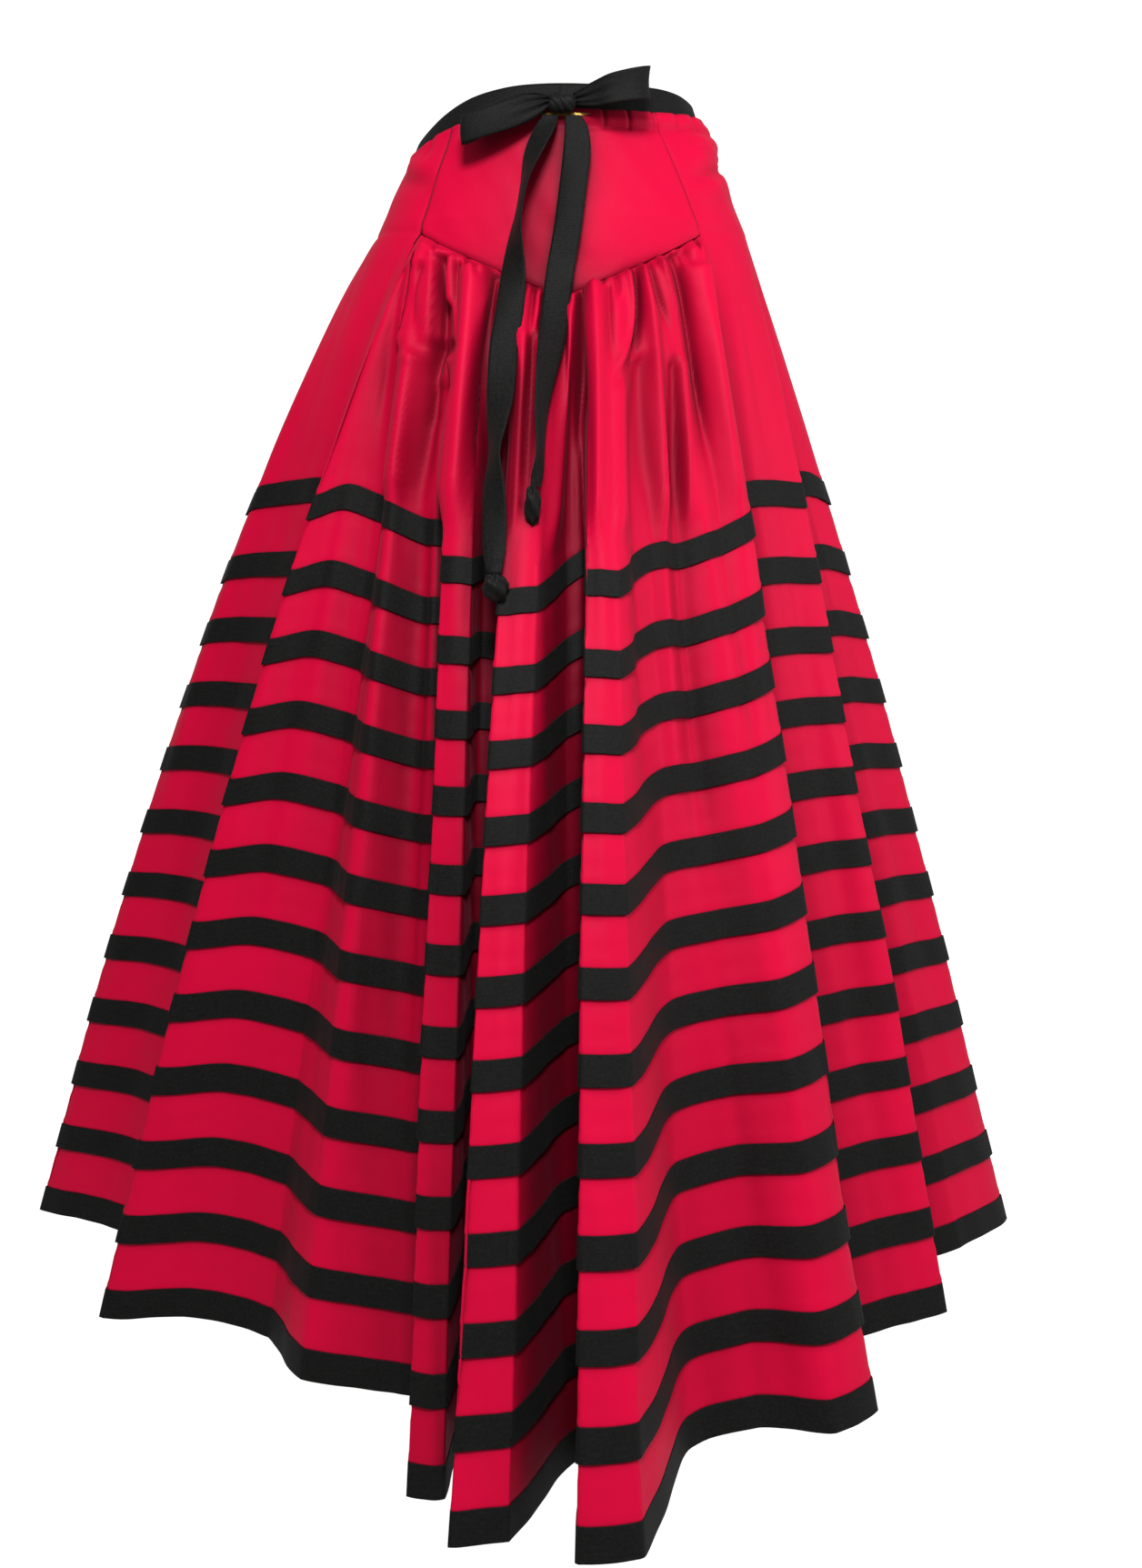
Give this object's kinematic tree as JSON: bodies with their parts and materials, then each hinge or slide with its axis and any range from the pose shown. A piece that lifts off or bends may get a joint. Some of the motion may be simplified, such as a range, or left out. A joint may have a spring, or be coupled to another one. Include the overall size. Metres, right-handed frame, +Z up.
{
  "type": "pleated wrap skirt",
  "caption": "Long full red satin skirt as worn, with a pointed front yoke, gathered front, deep folds, black ribbon bands all round and a black ribbon bow at the waist.",
  "frame": {"origin": "centre of the waist opening, at the height of the cloth's top edge in front, where the wearer's waist holds the skirt", "axes": "+Z up along the wearer, out of the waist; the front with the bow faces -Y; +X is the viewer's right when facing the front"},
  "size_m": [0.8881, 0.8652, 1.0582],
  "materials": {
    "satin": "satin-faced cotton, soft sheen",
    "ribbon": "grosgrain ribbon, matt with fine ribs",
    "gilt": "polished gilt"
  },
  "bodies": {
    "root": {"front_yoke": "satin", "front_gathered": "satin", "side_front_left": "satin", "side_front_right": "satin", "back_left": "satin", "back_right": "satin", "ribbon_01": "ribbon", "ribbon_02": "ribbon", "ribbon_03": "ribbon", "ribbon_04": "ribbon", "ribbon_05": "ribbon", "ribbon_06": "ribbon", "ribbon_07": "ribbon", "ribbon_08": "ribbon", "ribbon_09": "ribbon", "ribbon_10": "ribbon", "ribbon_11": "ribbon", "ribbon_12": "ribbon", "waistband": "ribbon", "bow_knot": "ribbon", "bow_loop_left": "ribbon", "bow_loop_right": "ribbon", "tail_left": "ribbon", "tail_right": "ribbon", "tail_knot_left": "ribbon", "tail_knot_right": "ribbon", "gold_bar": "gilt"}
  },
  "joints": []
}
